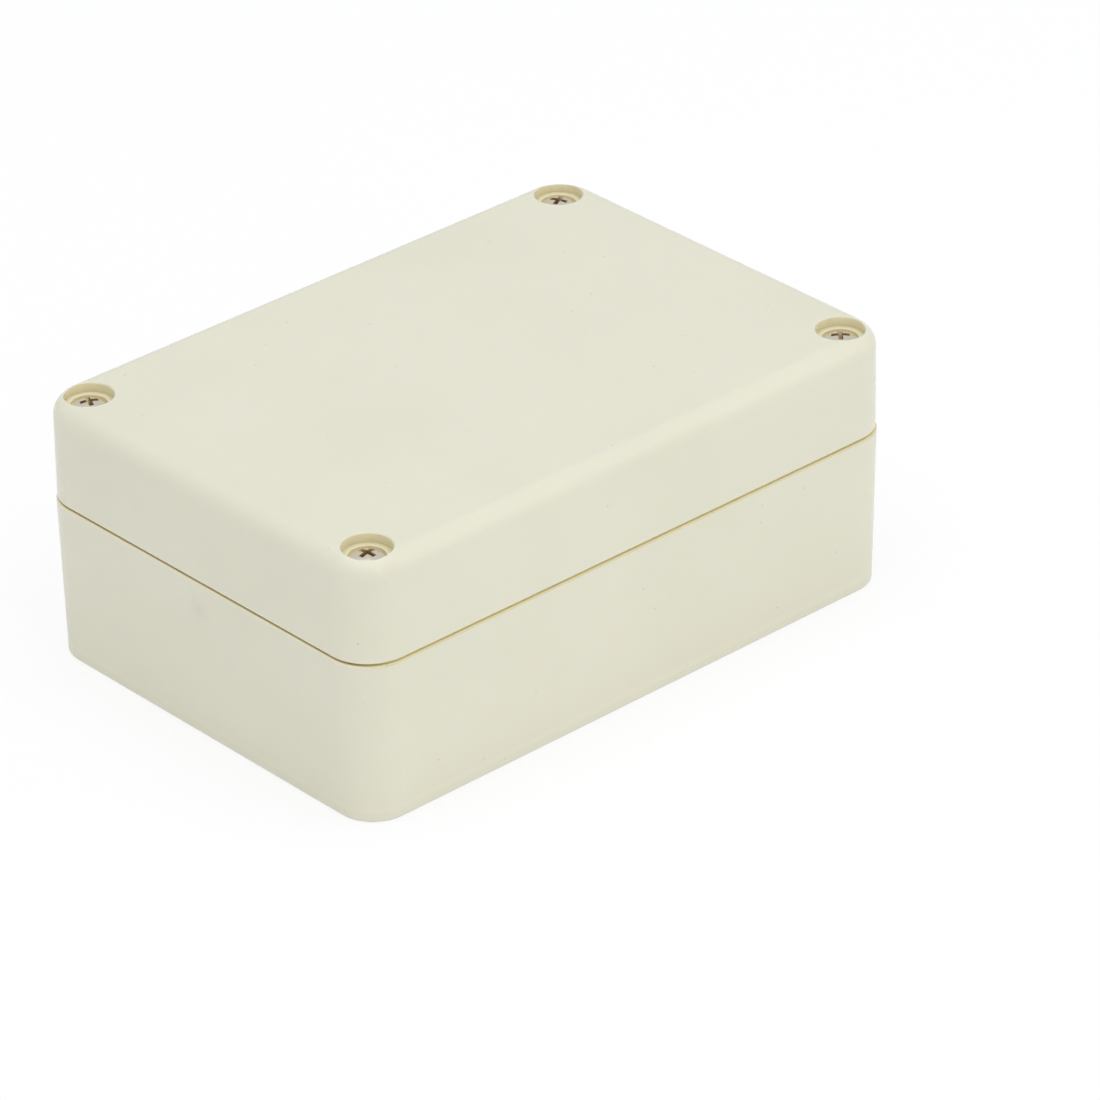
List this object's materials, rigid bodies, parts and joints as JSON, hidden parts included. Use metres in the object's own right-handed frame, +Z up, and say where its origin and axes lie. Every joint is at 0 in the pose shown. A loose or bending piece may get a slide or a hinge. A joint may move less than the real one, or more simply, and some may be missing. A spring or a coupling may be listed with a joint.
{
  "type": "project box",
  "caption": "Sealed plastic project box: drafted base with a seal groove, screw posts and board standoffs, and a deep rounded lid held down by recessed corner screws.",
  "frame": {"origin": "centre of the underside of the base", "axes": "+X along the length, +Y across the width to the back, +Z up through the lid"},
  "size_m": [0.115, 0.08, 0.0466],
  "materials": {
    "case_abs": "satin moulded ABS, ivory",
    "seal_silicone": "matt white silicone",
    "insert_brass": "knurled brass",
    "screw_nickel": "bright nickel plating"
  },
  "bodies": {
    "base": {"base": "case_abs", "seal_cord": "seal_silicone", "insert_back_right": "insert_brass", "insert_back_left": "insert_brass", "insert_front_left": "insert_brass", "insert_front_right": "insert_brass"},
    "lid": {"lid": "case_abs"},
    "screw_back_right": {"screw_back_right": "screw_nickel"},
    "screw_back_left": {"screw_back_left": "screw_nickel"},
    "screw_front_left": {"screw_front_left": "screw_nickel"},
    "screw_front_right": {"screw_front_right": "screw_nickel"}
  },
  "joints": [
    {"name": "lid_lift", "type": "slide", "parent": "base", "child": "lid", "axis": [0, 0, 1], "range_m": [0, 0.06]},
    {"name": "screw_out_back_right", "type": "slide", "parent": "lid", "child": "screw_back_right", "axis": [0, 0, 1], "range_m": [0, 0.03]},
    {"name": "screw_out_back_left", "type": "slide", "parent": "lid", "child": "screw_back_left", "axis": [0, 0, 1], "range_m": [0, 0.03]},
    {"name": "screw_out_front_left", "type": "slide", "parent": "lid", "child": "screw_front_left", "axis": [0, 0, 1], "range_m": [0, 0.03]},
    {"name": "screw_out_front_right", "type": "slide", "parent": "lid", "child": "screw_front_right", "axis": [0, 0, 1], "range_m": [0, 0.03]}
  ]
}
